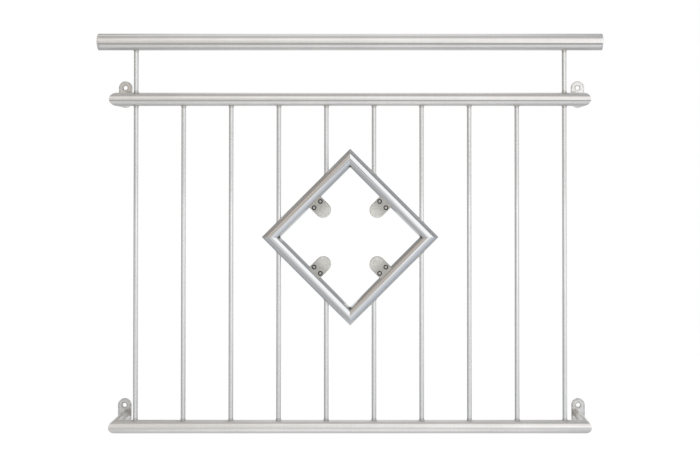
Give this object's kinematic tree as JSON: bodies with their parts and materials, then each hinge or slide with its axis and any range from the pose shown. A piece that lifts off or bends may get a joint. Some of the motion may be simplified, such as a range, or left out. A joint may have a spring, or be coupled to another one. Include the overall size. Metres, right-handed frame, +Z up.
{
  "type": "juliet balcony railing",
  "caption": "Stainless steel window railing with a round handrail, upright bars and a square frame on its corner with clamps for a pane, bolted to the wall by plates at the rail ends.",
  "frame": {"origin": "on the back face of the lower left wall plate, on the axis of the rail return welded to it", "axes": "+X along the railing to the right as seen from outside, +Y into the wall, +Z up"},
  "size_m": [1.285, 0.1162, 1.0144],
  "materials": {
    "satin_steel": "satin",
    "polished_steel": "polished",
    "clamp_metal": "matte",
    "screw_steel": "bright",
    "washer_nylon": "matte",
    "pad_rubber": "matte"
  },
  "bodies": {
    "root": {"bar_01": "satin_steel", "bar_02": "satin_steel", "bar_03": "satin_steel", "bar_04_lower": "satin_steel", "bar_04_upper": "satin_steel", "bar_05_lower": "satin_steel", "bar_05_upper": "satin_steel", "bar_06_lower": "satin_steel", "bar_06_upper": "satin_steel", "bar_07_lower": "satin_steel", "bar_07_upper": "satin_steel", "bar_08": "satin_steel", "bar_09": "satin_steel", "bar_10": "satin_steel", "clamp_base_lower_left": "clamp_metal", "clamp_base_lower_right": "clamp_metal", "clamp_base_upper_left": "clamp_metal", "clamp_base_upper_right": "clamp_metal", "clamp_cover_lower_left": "clamp_metal", "clamp_cover_lower_right": "clamp_metal", "clamp_cover_upper_left": "clamp_metal", "clamp_cover_upper_right": "clamp_metal", "clamp_pads": "pad_rubber", "clamp_screws": "screw_steel", "clamp_washers": "washer_nylon", "frame_side_lower_left": "polished_steel", "frame_side_lower_right": "polished_steel", "frame_side_upper_left": "polished_steel", "frame_side_upper_right": "polished_steel", "handrail": "satin_steel", "handrail_cap_left": "satin_steel", "handrail_cap_right": "satin_steel", "handrail_post_left": "satin_steel", "handrail_post_right": "satin_steel", "lower_rail": "satin_steel", "lower_rail_return_left": "satin_steel", "lower_rail_return_right": "satin_steel", "upper_rail": "satin_steel", "upper_rail_return_left": "satin_steel", "upper_rail_return_right": "satin_steel", "wall_plate_lower_left": "satin_steel", "wall_plate_lower_right": "satin_steel", "wall_plate_upper_left": "satin_steel", "wall_plate_upper_right": "satin_steel"}
  },
  "joints": []
}
